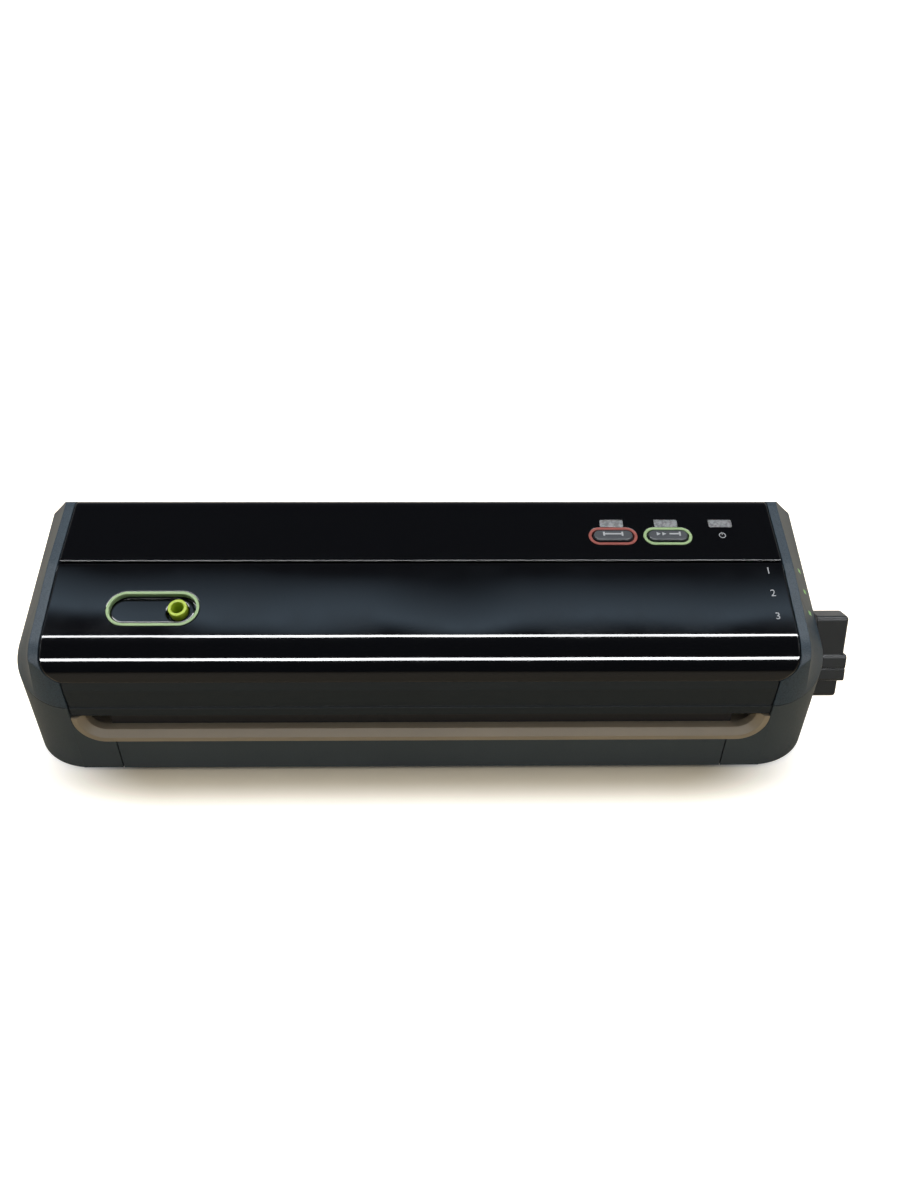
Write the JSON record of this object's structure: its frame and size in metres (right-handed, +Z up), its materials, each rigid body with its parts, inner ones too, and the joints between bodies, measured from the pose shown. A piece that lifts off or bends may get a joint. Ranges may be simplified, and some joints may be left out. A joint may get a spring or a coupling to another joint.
{
  "type": "vacuum sealer",
  "caption": "Countertop bag vacuum sealer with a hinged gloss lid, side latch lever, press buttons, indicator windows, accessory port, vacuum channel and sealing bar.",
  "frame": {"origin": "middle of the footprint on the table, halfway across the overall width and depth", "axes": "+X along the machine towards the latch lever, +Y from the bag mouth to the back, +Z up"},
  "size_m": [0.4102, 0.156, 0.1002],
  "materials": {
    "gloss_black": "piano-gloss moulded plastic",
    "slate_trim": "satin moulded plastic",
    "dark_slate": "matte moulded plastic",
    "warm_grey": "matte moulded plastic",
    "button_grey": "satin moulded plastic",
    "recess_black": "matte moulded plastic",
    "foam": "closed-cell foam",
    "rubber_black": "moulded rubber",
    "silicone": "extruded silicone",
    "steel": "drawn and turned steel",
    "bush_white": "moulded acetal",
    "release_brown": "coated glass cloth tape",
    "lime": "moulded plastic",
    "pale_green": "moulded plastic",
    "dusty_red": "moulded plastic",
    "lens": "frosted plastic",
    "board_green": "glass-fibre board",
    "component_black": "moulded component",
    "motor_steel": "plated steel can"
  },
  "bodies": {
    "base": {"control_panel": "gloss_black", "right_side_trim": "slate_trim", "left_side_trim": "slate_trim", "hinge_pin_cover": "slate_trim", "right_end_cap": "dark_slate", "left_end_cap": "dark_slate", "base_tub": "dark_slate", "rear_cover": "dark_slate", "rear_bulkhead": "dark_slate", "bag_deck": "warm_grey", "seal_bar": "warm_grey", "lower_gasket": "foam", "front_left_foot": "rubber_black", "front_right_foot": "rubber_black", "rear_left_foot": "rubber_black", "rear_right_foot": "rubber_black", "cord_gland": "rubber_black", "vacuum_hose": "silicone", "right_hinge_pin": "steel", "left_hinge_pin": "steel", "base_screws": "steel", "pump_bracket": "steel", "heating_strip": "steel", "right_shaft_bush": "bush_white", "left_shaft_bush": "bush_white", "release_tape": "release_brown", "vacuum_button_ring": "pale_green", "seal_button_ring": "dusty_red", "seal_light": "lens", "vacuum_light": "lens", "power_light": "lens", "control_board": "board_green", "board_switches": "component_black", "board_lights": "component_black", "pump_head": "component_black", "pump_motor": "motor_steel", "transformer": "motor_steel"},
    "lid": {"lid_cover": "gloss_black", "lid_front_flap": "dark_slate", "lid_frame": "dark_slate", "upper_gasket": "foam", "pressure_strip": "silicone", "accessory_port": "lime", "accessory_ring": "pale_green", "accessory_dish": "recess_black", "port_nut": "lime", "port_hose": "silicone", "right_striker": "steel", "left_striker": "steel"},
    "latch": {"latch_lever": "dark_slate", "latch_shaft": "steel", "right_latch_hook": "steel", "left_latch_hook": "steel", "lever_screw": "steel"},
    "seal_button": {"seal_button": "button_grey"},
    "vacuum_button": {"vacuum_button": "button_grey"}
  },
  "joints": [
    {"name": "lid_hinge", "type": "hinge", "parent": "base", "child": "lid", "pos_m": [-0.0091, -0.02855, 0.08649], "axis": [-1, 0, 0], "range_deg": [0, 60]},
    {"name": "latch_turn", "type": "hinge", "parent": "base", "child": "latch", "pos_m": [-0.0091, -0.0375, 0.029], "axis": [1, 0, 0], "range_deg": [-16, 20]},
    {"name": "seal_button_press", "type": "slide", "parent": "base", "child": "seal_button", "axis": [0, 0.2756, -0.9613], "range_m": [0, 0.0012], "stiffness_N_per_m": 800},
    {"name": "vacuum_button_press", "type": "slide", "parent": "base", "child": "vacuum_button", "axis": [0, 0.2756, -0.9613], "range_m": [0, 0.0012], "stiffness_N_per_m": 800}
  ]
}
